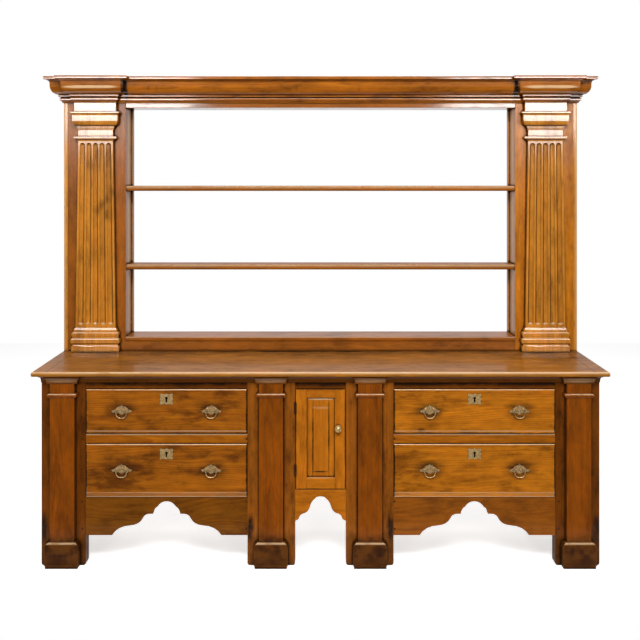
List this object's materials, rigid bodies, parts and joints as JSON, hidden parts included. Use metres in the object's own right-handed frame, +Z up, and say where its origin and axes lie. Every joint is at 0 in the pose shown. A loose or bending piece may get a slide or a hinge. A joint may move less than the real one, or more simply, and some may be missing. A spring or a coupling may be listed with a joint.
{
  "type": "welsh dresser",
  "caption": "Wide pine dresser: drawers and a small cupboard between pilasters, an arched apron, and an open plate rack with fluted pilasters under a break-front cornice.",
  "frame": {"origin": "on the floor, under the middle of the dresser's box", "axes": "+X to the dresser's right as seen from the front, +Y towards its back, +Z up"},
  "size_m": [2.724, 0.53, 2.25],
  "materials": {
    "waxed_pine": "waxed and polished",
    "dark_pine": "waxed, darkened by age",
    "raw_pine": "bare, aged",
    "brass": "aged",
    "iron": "dark, dull"
  },
  "bodies": {
    "case": {"top_board": "waxed_pine", "top_moulding": "waxed_pine", "top_rail": "waxed_pine", "apron_centre": "waxed_pine", "cupboard_box": "raw_pine", "back_boards": "raw_pine", "post_outer_left": "dark_pine", "post_inner_left": "dark_pine", "pilaster_outer_left": "waxed_pine", "pilaster_inner_left": "waxed_pine", "end_panel_left": "waxed_pine", "drawer_rails_left": "waxed_pine", "apron_left": "waxed_pine", "rack_side_left": "waxed_pine", "rack_stile_left": "waxed_pine", "rack_pilaster_left": "waxed_pine", "post_outer_right": "dark_pine", "post_inner_right": "dark_pine", "pilaster_outer_right": "waxed_pine", "pilaster_inner_right": "waxed_pine", "end_panel_right": "waxed_pine", "drawer_rails_right": "waxed_pine", "apron_right": "waxed_pine", "rack_side_right": "waxed_pine", "rack_stile_right": "waxed_pine", "rack_pilaster_right": "waxed_pine", "rack_cornice": "waxed_pine", "rack_top": "waxed_pine", "shelf_lower": "waxed_pine", "shelf_upper": "waxed_pine", "rack_bottom_rail": "waxed_pine"},
    "door": {"door_frame": "waxed_pine", "door_panel": "waxed_pine", "hinge_upper": "iron", "hinge_lower": "iron"},
    "knob": {"door_knob": "brass"},
    "drawer_upper_left": {"drawer_front_upper_left": "waxed_pine", "drawer_box_upper_left": "raw_pine", "handle_plate_upper_left_1": "brass", "handle_plate_upper_left_2": "brass"},
    "bail_upper_left_1": {"bail_upper_left_1": "brass"},
    "bail_upper_left_2": {"bail_upper_left_2": "brass"},
    "drawer_upper_right": {"drawer_front_upper_right": "waxed_pine", "drawer_box_upper_right": "raw_pine", "handle_plate_upper_right_1": "brass", "handle_plate_upper_right_2": "brass"},
    "bail_upper_right_1": {"bail_upper_right_1": "brass"},
    "bail_upper_right_2": {"bail_upper_right_2": "brass"},
    "drawer_lower_left": {"drawer_front_lower_left": "waxed_pine", "drawer_box_lower_left": "raw_pine", "handle_plate_lower_left_1": "brass", "handle_plate_lower_left_2": "brass"},
    "bail_lower_left_1": {"bail_lower_left_1": "brass"},
    "bail_lower_left_2": {"bail_lower_left_2": "brass"},
    "drawer_lower_right": {"drawer_front_lower_right": "waxed_pine", "drawer_box_lower_right": "raw_pine", "handle_plate_lower_right_1": "brass", "handle_plate_lower_right_2": "brass"},
    "bail_lower_right_1": {"bail_lower_right_1": "brass"},
    "bail_lower_right_2": {"bail_lower_right_2": "brass"}
  },
  "joints": [
    {"name": "drawer_upper_left_slide", "type": "slide", "parent": "case", "child": "drawer_upper_left", "axis": [0, -1, 0], "range_m": [0, 0.34]},
    {"name": "bail_upper_left_1_swing", "type": "hinge", "parent": "drawer_upper_left", "child": "bail_upper_left_1", "pos_m": [-0.897, -0.2294, 0.70515], "axis": [-1, 0, 0], "range_deg": [0, 85]},
    {"name": "bail_upper_left_2_swing", "type": "hinge", "parent": "drawer_upper_left", "child": "bail_upper_left_2", "pos_m": [-0.493, -0.2294, 0.70515], "axis": [-1, 0, 0], "range_deg": [0, 85]},
    {"name": "drawer_upper_right_slide", "type": "slide", "parent": "case", "child": "drawer_upper_right", "axis": [0, -1, 0], "range_m": [0, 0.34]},
    {"name": "bail_upper_right_1_swing", "type": "hinge", "parent": "drawer_upper_right", "child": "bail_upper_right_1", "pos_m": [0.493, -0.2294, 0.70515], "axis": [-1, 0, 0], "range_deg": [0, 85]},
    {"name": "bail_upper_right_2_swing", "type": "hinge", "parent": "drawer_upper_right", "child": "bail_upper_right_2", "pos_m": [0.897, -0.2294, 0.70515], "axis": [-1, 0, 0], "range_deg": [0, 85]},
    {"name": "drawer_lower_left_slide", "type": "slide", "parent": "case", "child": "drawer_lower_left", "axis": [0, -1, 0], "range_m": [0, 0.34]},
    {"name": "bail_lower_left_1_swing", "type": "hinge", "parent": "drawer_lower_left", "child": "bail_lower_left_1", "pos_m": [-0.897, -0.2294, 0.43865], "axis": [-1, 0, 0], "range_deg": [0, 85]},
    {"name": "bail_lower_left_2_swing", "type": "hinge", "parent": "drawer_lower_left", "child": "bail_lower_left_2", "pos_m": [-0.493, -0.2294, 0.43865], "axis": [-1, 0, 0], "range_deg": [0, 85]},
    {"name": "drawer_lower_right_slide", "type": "slide", "parent": "case", "child": "drawer_lower_right", "axis": [0, -1, 0], "range_m": [0, 0.34]},
    {"name": "bail_lower_right_1_swing", "type": "hinge", "parent": "drawer_lower_right", "child": "bail_lower_right_1", "pos_m": [0.493, -0.2294, 0.43865], "axis": [-1, 0, 0], "range_deg": [0, 85]},
    {"name": "bail_lower_right_2_swing", "type": "hinge", "parent": "drawer_lower_right", "child": "bail_lower_right_2", "pos_m": [0.897, -0.2294, 0.43865], "axis": [-1, 0, 0], "range_deg": [0, 85]},
    {"name": "door_swing", "type": "hinge", "parent": "case", "child": "door", "pos_m": [-0.11375, -0.2208, 0.5695], "axis": [0, 0, -1], "range_deg": [0, 105]},
    {"name": "knob_turn", "type": "hinge", "parent": "door", "child": "knob", "pos_m": [0.08, -0.2173, 0.622], "axis": [0, -1, 0], "range_deg": [0, 90]}
  ]
}
